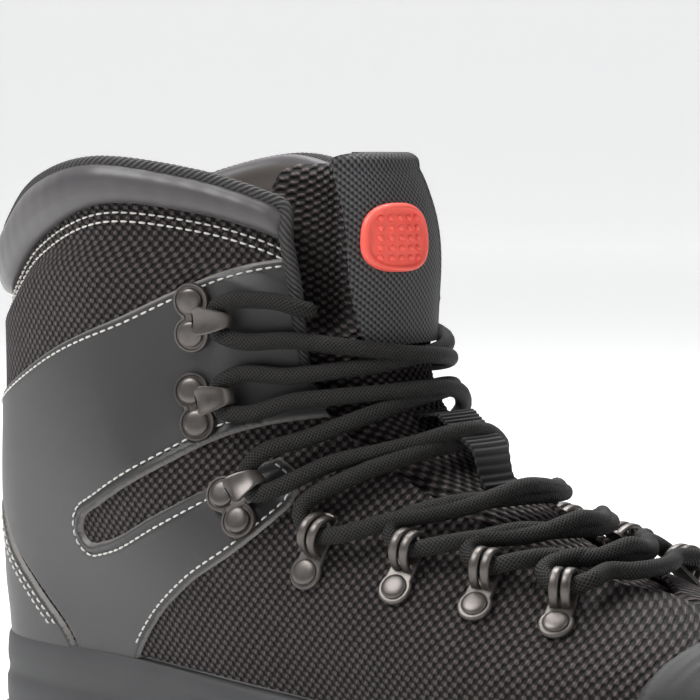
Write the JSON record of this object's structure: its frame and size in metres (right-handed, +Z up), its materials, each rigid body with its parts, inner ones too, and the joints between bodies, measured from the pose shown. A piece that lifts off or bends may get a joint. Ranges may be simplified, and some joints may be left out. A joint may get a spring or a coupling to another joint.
{
  "type": "wading boot",
  "caption": "Laced ankle-high wading boot for the right foot, with hooks and lace loops, padded collar, pull strap and lugged sole.",
  "frame": {"origin": "on the floor under the middle of the boot's length and width", "axes": "+X to the toe, +Y to the inner side of the foot, +Z up"},
  "size_m": [0.3106, 0.1097, 0.1866],
  "materials": {
    "rubber": "matt black moulded rubber with a fine grain",
    "midsole_foam": "matt dark grey moulded foam",
    "lining": "dark brushed lining",
    "knit": "raised three-dimensional mesh, brown black",
    "leather": "smooth satin dark grey leather with white double stitching",
    "webbing": "dark grey woven webbing",
    "patch": "soft red moulded rubber with a raised rim",
    "gunmetal": "satin gunmetal coating",
    "lace": "round braided black cord"
  },
  "bodies": {
    "root": {"collar_band": "leather", "heel_counter": "leather", "hook_inner_1": "gunmetal", "hook_inner_2": "gunmetal", "hook_inner_3": "gunmetal", "hook_outer_1": "gunmetal", "hook_outer_2": "gunmetal", "hook_outer_3": "gunmetal", "hook_rivet_inner_1_low": "gunmetal", "hook_rivet_inner_1_top": "gunmetal", "hook_rivet_inner_2_low": "gunmetal", "hook_rivet_inner_2_top": "gunmetal", "hook_rivet_inner_3_low": "gunmetal", "hook_rivet_inner_3_top": "gunmetal", "hook_rivet_outer_1_low": "gunmetal", "hook_rivet_outer_1_top": "gunmetal", "hook_rivet_outer_2_low": "gunmetal", "hook_rivet_outer_2_top": "gunmetal", "hook_rivet_outer_3_low": "gunmetal", "hook_rivet_outer_3_top": "gunmetal", "insole": "lining", "lace_bar": "lace", "lace_cross_1": "lace", "lace_cross_2": "lace", "lace_cross_3": "lace", "lace_cross_4": "lace", "lace_cross_5": "lace", "lace_cross_6": "lace", "lace_end_inner": "lace", "lace_end_outer": "lace", "lace_keeper": "webbing", "lace_loop_inner_1": "gunmetal", "lace_loop_inner_2": "gunmetal", "lace_loop_inner_3": "gunmetal", "lace_loop_inner_4": "gunmetal", "lace_loop_outer_1": "gunmetal", "lace_loop_outer_2": "gunmetal", "lace_loop_outer_3": "gunmetal", "lace_loop_outer_4": "gunmetal", "loop_rivet_inner_1": "gunmetal", "loop_rivet_inner_2": "gunmetal", "loop_rivet_inner_3": "gunmetal", "loop_rivet_inner_4": "gunmetal", "loop_rivet_outer_1": "gunmetal", "loop_rivet_outer_2": "gunmetal", "loop_rivet_outer_3": "gunmetal", "loop_rivet_outer_4": "gunmetal", "midsole": "midsole_foam", "outsole": "rubber", "pull_strap": "webbing", "side_panel_inner": "leather", "side_panel_outer": "leather", "strap_patch": "patch", "toe_cap": "rubber", "tongue": "knit", "upper": "knit"}
  },
  "joints": []
}
